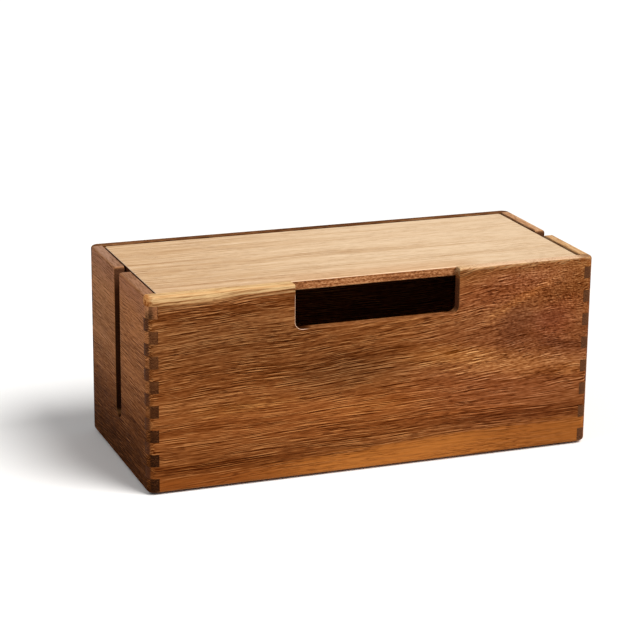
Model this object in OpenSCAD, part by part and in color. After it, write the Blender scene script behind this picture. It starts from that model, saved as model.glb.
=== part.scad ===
// Desktop cable box: a finger-jointed hardwood box with a loose lift-off lid laid inside its rim,
// a wide notch in the front for charging leads and a narrow cable slot in each end.
// Millimetres. The origin is the centre of the footprint, on the surface that the box stands on.
// +X runs along the box to the right, +Y to the back and +Z up.

/* [Walls] */
// Outside length of the box, left end to right end
box_l = 305; // [220:5:450]
// Outside depth of the box, front to back
box_d = 135; // [100:5:220]
// Height of the four wall boards
wall_h = 128; // [96:4:200]
// Thickness of the four wall boards
wall_t = 7; // [6:0.5:12]
// Radius of the four upright corners
corner_r = 5.5; // [3:0.5:6.5]
// Radius sanded on the outer top and bottom edges of the walls
edge_r = 2; // [0.6:0.2:2.4]

/* [Finger joints] */
// Height of one finger
finger_h = 8; // [5:0.5:16]
// Height of the lowest finger
foot_finger_h = 9.5; // [5:0.5:16]

/* [Front notch] */
// Width of the notch in the front board
notch_w = 112; // [60:2:160]
// Depth of the notch below the rim
notch_depth = 30; // [16:1:60]
// Radius of the two lower corners of the notch
notch_r = 5; // [2:0.5:8]
// Radius of the two upper corners of the notch
notch_lip_r = 1.5; // [0.5:0.5:3]

/* [Cable slots] */
// Width of the slot in each end board
slot_w = 12; // [8:1:20]
// Height of the slot's round lower end above the lower edge of the wall
slot_floor = 29; // [15:0.5:70]
// Radius of the two upper corners of a slot
slot_lip_r = 2.5; // [0.5:0.5:4]

/* [Lid] */
// Thickness of the lid board
lid_t = 6; // [4:0.5:10]
// Depth of the lid's top face below the rim
lid_drop = 0.5; // [0:0.5:4]
// Gap between the lid and each end board
lid_gap_end = 1.6; // [0.6:0.1:4]
// Gap between the lid and the front board, and the back board
lid_gap_side = 0.6; // [0.4:0.1:3]
// Radius of the lid's four corners, seen from above
lid_corner_r = 2; // [1.2:0.2:6]
// Radius sanded on the lid's top and bottom edges
lid_edge_r = 0.8; // [0.2:0.2:1]
// Clearance between the lid and the posts that carry it
lid_seat_gap = 0.3; // [0:0.1:0.5]

/* [Bottom board] */
// Thickness of the bottom board
bottom_t = 5; // [3:0.5:8]
// Height of the bottom board above the lower edge of the walls
bottom_lift = 4; // [3:0.5:8]
// Depth of the groove that holds the bottom board
groove_depth = 3; // [2:0.5:4]
// Clearance of the groove above the bottom board
groove_play = 0.2; // [0:0.1:0.5]
// Room left at each edge of the bottom board for the wood to swell
swell_gap = 0.5; // [0.2:0.1:1]

/* [Corner posts] */
// Width of a corner post, both ways
post_w = 12; // [8:0.5:18]
// Radius of a post's edge that faces into the box
post_r = 3; // [1:0.5:6]

/* [Feet] */
// Diameter of a foot where it is stuck to the bottom board
foot_d = 12; // [8:0.5:16]
// Diameter of a foot where it stands on the surface
foot_tip_d = 10; // [6:0.5:14]
// Radius around the lower edge of a foot
foot_edge_r = 0.8; // [0.2:0.1:1.4]
// Height of the walls above the surface
foot_show = 1.5; // [1:0.5:4]
// Distance from a foot's axis to the two nearest outer faces
foot_inset = 20; // [18:1:40]

/* [Hidden] */
$fn = 96;

wall_z = foot_show;
rim_z = wall_z + wall_h;
half_l = box_l / 2;
half_d = box_d / 2;
inner_l = box_l - 2 * wall_t;
inner_d = box_d - 2 * wall_t;
finger_count = 1 + ceil((wall_h - foot_finger_h) / finger_h);
bottom_z = wall_z + bottom_lift;
groove_l = inner_l + 2 * groove_depth;
groove_d = inner_d + 2 * groove_depth;
bottom_l = groove_l - 2 * swell_gap;
bottom_d = groove_d - 2 * swell_gap;
lid_top_z = rim_z - lid_drop;
lid_z = lid_top_z - lid_t;
lid_l = inner_l - 2 * lid_gap_end;
lid_d = inner_d - 2 * lid_gap_side;
post_z = bottom_z + bottom_t;
post_h = lid_z - lid_seat_gap - post_z;
foot_h = bottom_z;
// Length by which a cutter runs past the face that it cuts through
past = 1;

heartwood = "#8a5230";
endwood = "#6e4024";
palewood = "#cfa06c";
rubber = "#2a2826";

// A rectangle with its four corners rounded, centred across and standing on the x axis
module rounded_rect(width, height, radius) {
    translate([-width / 2, radius]) square([width, height - 2 * radius]);
    translate([-width / 2 + radius, 0]) square([width - 2 * radius, height]);
    for (side = [-1, 1], level = [radius, height - radius])
        translate([side * (width / 2 - radius), level]) circle(r = radius);
}

// The profile that, turned about its axis, makes one rounded upright corner
module corner_profile(corner, height, edge) {
    translate([0, edge]) square([corner, height - 2 * edge]);
    square([corner - edge, height]);
    for (level = [edge, height - edge]) translate([corner - edge, level]) circle(r = edge);
}

// A board or box with rounded upright corners and sanded top and bottom edges
module eased_block(length, depth, height, corner, edge) {
    rotate([90, 0, 90]) linear_extrude(length - 2 * corner, center = true) rounded_rect(depth, height, edge);
    rotate([90, 0, 0]) linear_extrude(depth - 2 * corner, center = true) rounded_rect(length, height, edge);
    for (x = [-1, 1], y = [-1, 1])
        translate([x * (length / 2 - corner), y * (depth / 2 - corner), 0])
            rotate_extrude() corner_profile(corner, height, edge);
}

// The outside form that all four walls are shaped to
module wall_envelope() {
    translate([0, 0, wall_z]) eased_block(box_l, box_d, wall_h, corner_r, edge_r);
}

// Height at which a step of the finger joints ends; the steps are counted from the lower edge
function step_end(step) = wall_z + foot_finger_h + step * finger_h;

// The fingers of every corner that start at the given step and take every second one
module corner_fingers(first) {
    for (step = [first : 2 : finger_count - 1], x = [-1, 1], y = [-1, 1]) {
        start = step == 0 ? wall_z - past : step_end(step - 1);
        translate([x * (half_l - wall_t / 2), y * (half_d - wall_t / 2), (start + step_end(step)) / 2])
            cube([wall_t, wall_t, step_end(step) - start], center = true);
    }
}

// The stopped groove that runs round the inside of the walls for the bottom board
module bottom_groove() {
    translate([-groove_l / 2, -groove_d / 2, bottom_z]) cube([groove_l, groove_d, bottom_t + groove_play]);
}

// A cut-out open at the top: round or flat below, with the two lips rounded over
module open_cut(width, depth, floor_r, lip_r) {
    translate([-width / 2, floor_r - depth]) square([width, depth - floor_r + past]);
    if (width > 2 * floor_r) translate([-width / 2 + floor_r, -depth]) square([width - 2 * floor_r, depth]);
    for (side = [-1, 1]) {
        translate([side * (width / 2 - floor_r), floor_r - depth]) circle(r = floor_r);
        difference() {
            translate([side * width / 2 - lip_r, -lip_r]) square([2 * lip_r, lip_r + past]);
            translate([side * (width / 2 + lip_r), -lip_r]) circle(r = lip_r);
        }
    }
}

// A long board across the front or the back, whose fingers start one step up
module long_board(side) {
    difference() {
        intersection() {
            wall_envelope();
            translate([0, side * (half_d - wall_t / 2 + past / 2), wall_z + wall_h / 2])
                cube([box_l + 2 * past, wall_t + past, wall_h + 2 * past], center = true);
        }
        corner_fingers(0);
        bottom_groove();
    }
}

// An end board, whose fingers start at the lower edge, with its cable slot
module end_board(side) {
    difference() {
        intersection() {
            wall_envelope();
            translate([side * (half_l - wall_t / 2 + past / 2), 0, wall_z + wall_h / 2])
                cube([wall_t + past, box_d + 2 * past, wall_h + 2 * past], center = true);
        }
        corner_fingers(1);
        bottom_groove();
        translate([side * (half_l - wall_t / 2), 0, rim_z])
            rotate([90, 0, 90])
                linear_extrude(wall_t + 2 * past, center = true)
                    open_cut(slot_w, wall_h - slot_floor, slot_w / 2, slot_lip_r);
    }
}

module front_panel() {
    color(heartwood)
        difference() {
            long_board(-1);
            translate([0, wall_t / 2 - half_d, rim_z])
                rotate([90, 0, 0])
                    linear_extrude(wall_t + 2 * past, center = true)
                        open_cut(notch_w, notch_depth, notch_r, notch_lip_r);
        }
}

module back_panel() {
    color(heartwood) long_board(1);
}

module left_end_panel() {
    color(endwood) end_board(-1);
}

module right_end_panel() {
    color(endwood) end_board(1);
}

module bottom_panel() {
    color(palewood) translate([-bottom_l / 2, -bottom_d / 2, bottom_z]) cube([bottom_l, bottom_d, bottom_t]);
}

// Cross-section of a corner post, from the corner of the walls out into the box
module post_section() {
    square([post_w, post_w - post_r]);
    square([post_w - post_r, post_w]);
    translate([post_w - post_r, post_w - post_r]) circle(r = post_r);
}

// A post glued into a corner, standing on the bottom board and carrying the lid
module corner_post(x, y) {
    color(heartwood)
        translate([x * inner_l / 2, y * inner_d / 2, post_z])
            mirror([x > 0 ? 1 : 0, 0, 0])
                mirror([0, y > 0 ? 1 : 0, 0])
                    linear_extrude(post_h) post_section();
}

module corner_post_front_left() {
    corner_post(-1, -1);
}

module corner_post_front_right() {
    corner_post(1, -1);
}

module corner_post_back_left() {
    corner_post(-1, 1);
}

module corner_post_back_right() {
    corner_post(1, 1);
}

// A tapered rubber foot stuck under the bottom board, with its lower edge rounded
module foot(x, y) {
    color(rubber)
        translate([x * (half_l - foot_inset), y * (half_d - foot_inset), 0]) {
            rotate_extrude() {
                square([foot_tip_d / 2 - foot_edge_r, foot_edge_r]);
                translate([foot_tip_d / 2 - foot_edge_r, foot_edge_r]) circle(r = foot_edge_r);
            }
            translate([0, 0, foot_edge_r]) cylinder(h = foot_h - foot_edge_r, d1 = foot_tip_d, d2 = foot_d);
        }
}

module foot_front_left() {
    foot(-1, -1);
}

module foot_front_right() {
    foot(1, -1);
}

module foot_back_left() {
    foot(-1, 1);
}

module foot_back_right() {
    foot(1, 1);
}

// The loose lid, laid on the posts inside the rim
module lid_board() {
    color(palewood) translate([0, 0, lid_z]) eased_block(lid_l, lid_d, lid_t, lid_corner_r, lid_edge_r);
}

front_panel();
back_panel();
left_end_panel();
right_end_panel();
bottom_panel();
corner_post_front_left();
corner_post_front_right();
corner_post_back_left();
corner_post_back_right();
foot_front_left();
foot_front_right();
foot_back_left();
foot_back_right();
lid_board();
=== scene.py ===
# %% [markdown]
# # A finger-jointed cable box in oiled acacia
#
# The box is glued up from four thin boards whose ends are cut into interlocking fingers. A loose
# lid lies inside the rim, a wide notch in the front lets charging leads out, and each end has a
# narrow slot that a mains lead drops into. Everything is measured in metres, in the frame of the
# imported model, so each piece is made where it belongs and is never fitted afterwards.

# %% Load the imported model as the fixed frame
import math

import bmesh
import bpy
from mathutils import Matrix, Vector


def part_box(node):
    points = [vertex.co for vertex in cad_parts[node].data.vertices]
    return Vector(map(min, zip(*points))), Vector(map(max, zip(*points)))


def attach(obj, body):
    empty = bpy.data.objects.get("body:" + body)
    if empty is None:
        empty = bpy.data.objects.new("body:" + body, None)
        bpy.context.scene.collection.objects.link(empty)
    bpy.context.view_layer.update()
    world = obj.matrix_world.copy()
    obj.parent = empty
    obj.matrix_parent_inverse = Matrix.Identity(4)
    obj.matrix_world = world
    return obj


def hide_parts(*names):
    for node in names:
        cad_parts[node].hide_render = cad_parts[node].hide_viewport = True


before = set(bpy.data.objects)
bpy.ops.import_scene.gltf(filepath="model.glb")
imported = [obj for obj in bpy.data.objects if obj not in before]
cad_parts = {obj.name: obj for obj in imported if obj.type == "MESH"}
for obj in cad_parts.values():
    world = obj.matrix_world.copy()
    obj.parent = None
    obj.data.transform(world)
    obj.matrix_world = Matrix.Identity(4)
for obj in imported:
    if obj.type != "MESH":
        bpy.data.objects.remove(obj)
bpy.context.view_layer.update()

MM = 0.001

# %% [markdown]
# ## The camera
#
# A long lens from the front left, a little above the lid, shows the front, the left end and the
# top at once and keeps the upright edges nearly parallel. Its turn is built from three plain
# angles: the heading, the tilt down and a slight roll.

# %% Place the camera
CAMERA_PLACE = Vector((-0.50352, -1.28469, 0.49564))
CAMERA_HEADING = math.radians(20.865)
CAMERA_TILT = math.radians(16.718)
CAMERA_ROLL = math.radians(0.647)
CAMERA_LENS_MM = 121.85
CAMERA_SENSOR_MM = 36

camera = bpy.data.objects.new("camera", bpy.data.cameras.new("camera"))
camera.data.lens = CAMERA_LENS_MM
camera.data.sensor_width = CAMERA_SENSOR_MM
camera.data.clip_start = 0.01
camera.data.clip_end = 100
turn = Matrix.Rotation(-CAMERA_HEADING, 4, "Z")
turn = turn @ Matrix.Rotation(math.pi / 2 - CAMERA_TILT, 4, "X")
turn = turn @ Matrix.Rotation(CAMERA_ROLL, 4, "Z")
camera.matrix_world = Matrix.Translation(CAMERA_PLACE) @ turn
bpy.context.scene.collection.objects.link(camera)
bpy.context.scene.camera = camera
print("camera", tuple(round(value, 3) for value in CAMERA_PLACE), camera.data.lens, "mm")

# %% [markdown]
# ## Sizes
#
# The outside sizes are read from the frame. The few sizes that the frame cannot give, such as the
# radius of a cutter, are written here once as real sizes, and every piece below is worked out from
# them. A board that is sanded by hand has no sharp edge, so each edge has its own small radius.

# %% Sizes read from the frame, and the maker's own cutter sizes
front_low, front_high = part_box("front_panel")
bottom_low, bottom_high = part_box("bottom_panel")
lid_low, lid_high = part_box("lid_board")

HALF_LENGTH = front_high.x
HALF_DEPTH = -front_low.y
WALL = front_high.y - front_low.y
WALL_FOOT = front_low.z
RIM = front_high.z
WALL_HEIGHT = RIM - WALL_FOOT

CORNER_RADIUS = 5.5 * MM
EDGE_RADIUS = 2 * MM
ARRIS_RADIUS = 0.45 * MM
FINGER_HEIGHT = 8 * MM
FOOT_FINGER = 9.5 * MM
JOINT_LINE = 0.2 * MM
NOTCH_WIDTH = 112 * MM
NOTCH_FLOOR = RIM - 30 * MM
NOTCH_RADIUS = 5 * MM
NOTCH_LIP = 1.5 * MM
SLOT_WIDTH = 12 * MM
SLOT_FLOOR = WALL_FOOT + 29 * MM
SLOT_LIP = 2.5 * MM
GROOVE_DEPTH = 3 * MM
GROOVE_PLAY = 0.2 * MM
PAST = 1 * MM
outside = (2 * HALF_LENGTH / MM, 2 * HALF_DEPTH / MM, WALL_HEIGHT / MM)
print("walls %.1f x %.1f x %.1f mm," % outside, f"{WALL / MM:.1f} mm thick")

# %% [markdown]
# ## Lofting: one way to make almost every form here
#
# A board, a cutter, a post and a foot are all the same kind of shape: an outline that changes a
# little from level to level. They could be stock cubes and cylinders with a bevel on each, but
# then every rounded edge would depend on what the bevel made of its corners. A loft joins outlines
# ring by ring and closes both ends, and an eased edge is only a few more rings that pull in along a
# quarter circle, so its radius is exactly the one that is asked for.


# %% A loft through rings of points
def loft(name, rings):
    """A closed mesh object through rings with equal numbers of points, capped at both ends."""
    work = bmesh.new()
    loops = [[work.verts.new(point) for point in ring] for ring in rings]
    for lower, upper in zip(loops, loops[1:]):
        for index, corner in enumerate(lower):
            following = (index + 1) % len(lower)
            work.faces.new((corner, lower[following], upper[following], upper[index]))
    work.faces.new(list(reversed(loops[0])))
    work.faces.new(loops[-1])
    bmesh.ops.recalc_face_normals(work, faces=work.faces)
    mesh = bpy.data.meshes.new(name)
    work.to_mesh(mesh)
    work.free()
    made = bpy.data.objects.new(name, mesh)
    bpy.context.scene.collection.objects.link(made)
    return made


# %% Outlines made of straight runs and arcs
def arc(centre, radius, start, end, steps):
    """Points round an arc, from one angle to another, in degrees."""
    angles = [math.radians(start + (end - start) * step / steps) for step in range(steps + 1)]
    return [(centre[0] + radius * math.cos(a), centre[1] + radius * math.sin(a)) for a in angles]


def rounded_rectangle(length, depth, radius, steps=8):
    """The outline of a rectangle with round corners, centred on the origin."""
    across, along = length / 2 - radius, depth / 2 - radius
    points = []
    for side_x, side_y, start in ((1, 1, 0), (-1, 1, 90), (-1, -1, 180), (1, -1, 270)):
        points += arc((side_x * across, side_y * along), radius, start, start + 90, steps)
    return points


def quarter_curve(radius, steps):
    """(depth, pull) pairs down a rounded edge, from its face to where the curve ends."""
    angles = [math.radians(90 * step / steps) for step in range(steps + 1)]
    return [(radius - radius * math.cos(a), radius - radius * math.sin(a)) for a in angles]


# %% A board or block whose upright corners are round and whose other edges are eased
def eased_block(name, low, high, corner, edge, steps=5):
    """A block between two corners of space."""
    centre = (low + high) / 2
    curve = quarter_curve(edge, steps)
    levels = [(low.z + rise, pull) for rise, pull in curve]
    levels += [(high.z - rise, pull) for rise, pull in reversed(curve)]
    rings = []
    for height, pull in levels:
        length, depth = high.x - low.x - 2 * pull, high.y - low.y - 2 * pull
        outline = rounded_rectangle(length, depth, corner - pull)
        rings.append([(centre.x + x, centre.y + y, height) for x, y in outline])
    return loft(name, rings)


box_high = Vector((HALF_LENGTH, HALF_DEPTH, RIM))
walls = eased_block("walls", front_low, box_high, CORNER_RADIUS, EDGE_RADIUS)
print("uncut walls:", len(walls.data.polygons), "faces")

# %% [markdown]
# ## Cutting the walls
#
# On the real box the notch and the slots are cut with a router and their edges are then sanded
# over. Both are done in one go here by a cutter that grows a little wider where it meets the two
# faces of the board, so a rounded arris is left behind. The room inside the walls is cut in the
# same way. Every cutter runs past the wood, because two faces in exactly the same place give a
# boolean nothing to decide.


# %% How a cutter widens at the two faces that it passes through
def through_levels(radius, thickness):
    """(depth, spread) right through a thickness, with the edge on both of its faces rounded."""
    curve = quarter_curve(radius, 4)
    reach = 3
    outer = tuple(first + reach * (first - second) for first, second in zip(curve[0], curve[1]))
    near = [outer] + curve[1:]
    return near + [(thickness - depth, spread) for depth, spread in reversed(near)]


# %% The outline of a cut that is open at the top
def open_cut(width, floor, floor_radius, lip_radius, spread):
    """Outline of an open cut, grown by spread, as (across, height) points."""
    half = width / 2
    steps = 6
    lip = arc((-half - lip_radius, RIM - lip_radius), lip_radius - spread, 90, 0, steps)
    lip[0] = tuple(2 * first - second for first, second in zip(lip[0], lip[1]))
    floor_centre = (-half + floor_radius, floor + floor_radius)
    bend = arc(floor_centre, floor_radius + spread, 180, 270, steps)
    left = [(lip[0][0], RIM + 2 * PAST)] + lip + bend
    right = [(-across, height) for across, height in reversed(left)]
    if floor_radius * 2 >= width:
        right.pop(0)
    return left + right


# %% The cutters for the notch, the two slots and the room
def wall_cutter(name, sizes, place):
    """A cutter through a wall: place turns (across, depth, height) into a point."""
    rings = []
    for depth, spread in through_levels(ARRIS_RADIUS, WALL):
        outline = open_cut(*sizes, spread)
        rings.append([place(across, depth, height) for across, height in outline])
    return loft(name, rings)


def room_cutter():
    """The room inside the walls, widened at the rim and at the foot."""
    rings = []
    corner = 0.3 * MM
    for depth, spread in through_levels(ARRIS_RADIUS, WALL_HEIGHT):
        length = 2 * (HALF_LENGTH - WALL + spread)
        width = 2 * (HALF_DEPTH - WALL + spread)
        outline = rounded_rectangle(length, width, corner + spread, 3)
        rings.append([(x, y, WALL_FOOT + depth) for x, y in outline])
    return loft("room_cutter", rings)


def groove_cutter():
    """The stopped groove that holds the bottom board."""
    length = 2 * (HALF_LENGTH - WALL + GROOVE_DEPTH)
    width = 2 * (HALF_DEPTH - WALL + GROOVE_DEPTH)
    outline = rounded_rectangle(length, width, 0.2 * MM, 2)
    heights = (bottom_low.z - GROOVE_PLAY / 2, bottom_high.z + GROOVE_PLAY)
    return loft("groove_cutter", [[(x, y, height) for x, y in outline] for height in heights])


notch_sizes = (NOTCH_WIDTH, NOTCH_FLOOR, NOTCH_RADIUS, NOTCH_LIP)
slot_sizes = (SLOT_WIDTH, SLOT_FLOOR, SLOT_WIDTH / 2, SLOT_LIP)
cutters = [
    room_cutter(),
    groove_cutter(),
    wall_cutter("notch_cutter", notch_sizes, lambda u, depth, z: (u, depth - HALF_DEPTH, z)),
    wall_cutter("left_cutter", slot_sizes, lambda u, depth, z: (depth - HALF_LENGTH, u, z)),
    wall_cutter("right_cutter", slot_sizes, lambda u, depth, z: (HALF_LENGTH - depth, u, z)),
]


# %% Cut the walls, and turn the result into a plain mesh
def settle(piece):
    """Put a piece's modifiers into its mesh and remove them."""
    graph = bpy.context.evaluated_depsgraph_get()
    mesh = bpy.data.meshes.new_from_object(piece.evaluated_get(graph), depsgraph=graph)
    mesh.name = piece.name
    piece.modifiers.clear()
    piece.data = mesh


def discard(*pieces):
    """Remove objects that were only tools."""
    for piece in pieces:
        bpy.data.objects.remove(piece)


for cutter in cutters:
    cutting = walls.modifiers.new(cutter.name, "BOOLEAN")
    cutting.operation = "DIFFERENCE"
    cutting.solver = "EXACT"
    cutting.object = cutter
settle(walls)
discard(*cutters)
print("cut walls:", len(walls.data.polygons), "faces")

# %% [markdown]
# ## Shader helpers
#
# A material is a small machine built of nodes. Two helpers keep the building short: one adds a
# node and fills or links its inputs, and one adds a sum. Colours are written as they look on a
# screen, from 0 to 255, and turned into the linear light that the renderer works in.


# %% Add a node, add a sum, mix two colours
def add(tree, kind, inputs=None, **settings):
    """Add one node; inputs maps a socket's name or number to a value or to another socket."""
    made = tree.nodes.new(kind)
    for key, value in settings.items():
        setattr(made, key, value)
    for key, value in (inputs or {}).items():
        if isinstance(value, bpy.types.NodeSocket):
            tree.links.new(value, made.inputs[key])
        else:
            made.inputs[key].default_value = value
    return made


def sum_of(tree, operation, *values):
    """The result of one Math node."""
    return add(tree, "ShaderNodeMath", dict(enumerate(values)), operation=operation).outputs[0]


def vector_sum(tree, operation, *values):
    """The result of one Vector Math node."""
    node = add(tree, "ShaderNodeVectorMath", dict(enumerate(values)), operation=operation)
    return node.outputs[0]


def fade(tree, value, low, high, to_low=0.0, to_high=1.0):
    """A soft step from one level to another."""
    inputs = {"Value": value, "From Min": low, "From Max": high, "To Min": to_low, "To Max": to_high}
    return add(tree, "ShaderNodeMapRange", inputs, interpolation_type="SMOOTHSTEP").outputs[0]


def noise(tree, vector, scale, detail=2.0, roughness=0.5, distortion=0.0):
    """A cloud of values around a half."""
    inputs = {"Vector": vector, "Scale": scale, "Detail": detail}
    inputs.update({"Roughness": roughness, "Distortion": distortion})
    return add(tree, "ShaderNodeTexNoise", inputs)


def screen(red, green, blue):
    """A colour as it looks on a screen, made linear."""
    parts = [level / 255 for level in (red, green, blue)]
    linear = [((part + 0.055) / 1.055) ** 2.4 if part > 0.04 else part / 12.92 for part in parts]
    return (*linear, 1.0)


def blend_colours(tree, factor, first, second, mode="MIX"):
    """Lay the second colour over the first by a factor."""
    inputs = {0: factor, 6: first, 7: second}
    return add(tree, "ShaderNodeMix", inputs, data_type="RGBA", blend_type=mode).outputs[2]


def ramp(tree, value, *stops):
    """A colour ramp through (place, colour) stops."""
    made = add(tree, "ShaderNodeValToRGB", {0: value})
    while len(made.color_ramp.elements) < len(stops):
        made.color_ramp.elements.new(0.5)
    for element, (place, colour) in zip(made.color_ramp.elements, stops):
        element.position = place
        element.color = colour
    return made.outputs[0]


def new_group(name, inputs, outputs):
    """An empty shader group with named sockets: its tree, its inputs and its outputs."""
    tree = bpy.data.node_groups.new(name, "ShaderNodeTree")
    for label, kind, value in inputs:
        socket = tree.interface.new_socket(label, in_out="INPUT", socket_type="NodeSocket" + kind)
        if value is not None:
            socket.default_value = value
    for label, kind in outputs:
        tree.interface.new_socket(label, in_out="OUTPUT", socket_type="NodeSocket" + kind)
    return tree, tree.nodes.new("NodeGroupInput").outputs, tree.nodes.new("NodeGroupOutput").inputs


print("shader helpers ready")

# %% [markdown]
# ## Wood grain, built once for every board
#
# Wood is a solid with fibres running one way, so its pattern is made in space and not on the
# surface: a face along the fibres shows long streaks, and a face across them shows the same
# streaks end on, as dots. Each layer is a noise that is stretched along X. A slow wave bends all
# of them together, as growth bends real fibres, and a finer ripple makes them shimmer. Both move
# the fibres across the face, along Z, and hardly through its thickness, along Y, because a fibre
# that dives under the surface is cut short. A board that lies another way is turned by a Mapping
# node before it reaches the group.
#
# The finest lines could be a plain noise as well, but that leaves soft blots. They are the
# difference between two readings of one noise taken a hair apart, so that every dark line lies
# beside a pale one, as an open pore lies beside its own wall. Two sizes of such lines are added.

# %% The wood grain group
GRAIN_INPUTS = (
    ("Vector", "Vector", None),
    ("Bend", "Float", 0.005),
    ("Ripple", "Float", 0.001),
    ("Band Width", "Float", 0.016),
    ("Streak Length", "Float", 0.02),
    ("Streak Width", "Float", 0.0012),
)
TONE_LAYERS = ("Bands", "Streaks", "Lines", "Speckle", "Mottle", "Fibres")
GRAIN_OUTPUTS = tuple((label, "Float") for label in (*TONE_LAYERS, "Pores"))


def wave(tree, vector, rates, reach):
    """Move a vector sideways by a slow noise, by up to a given reach."""
    cloud = noise(tree, vector_sum(tree, "MULTIPLY", vector, rates), 1.0, 1.0)
    sideways = vector_sum(tree, "SUBTRACT", cloud.outputs["Color"], (0.5, 0.5, 0.5))
    sideways = vector_sum(tree, "MULTIPLY", sideways, (0.0, 0.12, 1.0))
    sideways = add(tree, "ShaderNodeVectorMath", {0: sideways, "Scale": reach}, operation="SCALE")
    return vector_sum(tree, "ADD", vector, sideways.outputs[0])


def stretch(tree, vector, along, across, detail, roughness=0.5):
    """A noise that is long along X; along and across are rates per metre, or sockets."""
    rates = add(tree, "ShaderNodeCombineXYZ", {0: along, 1: across, 2: across}).outputs[0]
    return noise(tree, vector_sum(tree, "MULTIPLY", vector, rates), 1.0, detail, roughness).outputs[0]


def wood_grain_group():
    """Bands of growth, streaks, lines, speckle, a mottle, fine fibres and pores, along X."""
    tree, given, result = new_group("wood_grain", GRAIN_INPUTS, GRAIN_OUTPUTS)
    bent = wave(tree, given["Vector"], (8.0, 15.0, 15.0), given["Bend"])
    rippled = wave(tree, bent, (48.0, 40.0, 40.0), given["Ripple"])

    band_rate = sum_of(tree, "DIVIDE", 1.0, given["Band Width"])
    wide = stretch(tree, bent, 3.4, band_rate, 2.0)
    narrow = stretch(tree, bent, 6.5, sum_of(tree, "MULTIPLY", band_rate, 2.7), 2.0)
    wide = sum_of(tree, "MULTIPLY", wide, 0.6)
    narrow = sum_of(tree, "MULTIPLY", narrow, 0.4)
    bands = sum_of(tree, "ADD", wide, narrow)
    tree.links.new(bands, result["Bands"])

    length_rate = sum_of(tree, "DIVIDE", 1.0, given["Streak Length"])
    width_rate = sum_of(tree, "DIVIDE", 1.0, given["Streak Width"])
    tree.links.new(stretch(tree, rippled, length_rate, width_rate, 2.0), result["Streaks"])
    line = 0.5
    for finer, place in ((1.5, (0.0, 0.0, 0.0)), (2.8, (0.4, 0.2, 0.6))):
        from_here = vector_sum(tree, "ADD", rippled, place)
        line_length = sum_of(tree, "MULTIPLY", length_rate, finer * 1.15)
        line_width = sum_of(tree, "MULTIPLY", width_rate, finer)
        hair = sum_of(tree, "DIVIDE", 0.5, line_width)
        hair = add(tree, "ShaderNodeCombineXYZ", {2: hair}).outputs[0]
        one = stretch(tree, from_here, line_length, line_width, 0.0)
        other = stretch(tree, vector_sum(tree, "ADD", from_here, hair), line_length, line_width, 0.0)
        depth = fade(tree, stretch(tree, from_here, 60.0, 190.0, 1.0), 0.38, 0.66, 0.2, 1.5)
        pair = sum_of(tree, "MULTIPLY", sum_of(tree, "SUBTRACT", one, other), depth)
        line = sum_of(tree, "ADD", line, pair)
    tree.links.new(line, result["Lines"])

    aside = vector_sum(tree, "ADD", rippled, (0.3, 0.7, 0.1))
    pores = stretch(tree, aside, 190.0, 2400.0, 0.0)
    pores = fade(tree, pores, 0.55, 0.66)
    crowds = fade(tree, stretch(tree, bent, 20.0, 110.0, 2.0), 0.35, 0.62, 0.2, 1.0)
    tree.links.new(sum_of(tree, "MULTIPLY", pores, crowds), result["Pores"])

    tree.links.new(stretch(tree, rippled, 90.0, 3200.0, 1.0), result["Fibres"])
    tree.links.new(stretch(tree, rippled, 260.0, 900.0, 1.0), result["Speckle"])
    tree.links.new(stretch(tree, bent, 75.0, 170.0, 2.0, 0.6), result["Mottle"])
    return tree


wood_grain = wood_grain_group()
print("wood_grain:", len(wood_grain.nodes), "nodes")

# %% [markdown]
# ## Paler edges, from sanding and from painted highlight
#
# The rounded edges are a little paler than the faces: partly the wear of sanding and partly a
# painted highlight. Every face of this box looks straight along an axis, so a rounded edge is
# wherever the normal does not: the largest of its three parts is one on a flat face and falls to
# 0.7 halfway round an edge. The four upright corners are left out, unlike the rim and the cuts,
# so they keep their colour.


# %% The edge group: sanded wear and painted highlight
def sanded_and_highlit_edge_group():
    """1 on rounded edges, 0 on flat faces and on the upright corners."""
    inputs = (("Normal", "Vector", None), ("Vector", "Vector", None))
    tree, given, result = new_group("sanded_and_highlit_edge", inputs, (("Edge", "Float"),))
    facing = vector_sum(tree, "ABSOLUTE", given["Normal"])
    parts = add(tree, "ShaderNodeSeparateXYZ", {0: facing}).outputs
    most = sum_of(tree, "MAXIMUM", sum_of(tree, "MAXIMUM", parts[0], parts[1]), parts[2])
    edge = fade(tree, sum_of(tree, "SUBTRACT", 1.0, most), 0.02, 0.25)
    place = vector_sum(tree, "ABSOLUTE", given["Vector"])
    places = add(tree, "ShaderNodeSeparateXYZ", {0: place}).outputs
    corner = sum_of(tree, "GREATER_THAN", places[0], HALF_LENGTH - CORNER_RADIUS)
    beside = sum_of(tree, "GREATER_THAN", places[1], HALF_DEPTH - CORNER_RADIUS)
    corner = sum_of(tree, "MULTIPLY", corner, beside)
    below_rim = fade(tree, places[2], RIM - 4 * MM, RIM - EDGE_RADIUS, 1.0, 0.0)
    corner = sum_of(tree, "MULTIPLY", corner, below_rim)
    corner = sum_of(tree, "MULTIPLY", edge, corner)
    tree.links.new(sum_of(tree, "SUBTRACT", edge, corner), result["Edge"])
    return tree


sanded_and_highlit_edge = sanded_and_highlit_edge_group()
print("sanded_and_highlit_edge:", len(sanded_and_highlit_edge.nodes), "nodes")
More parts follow.
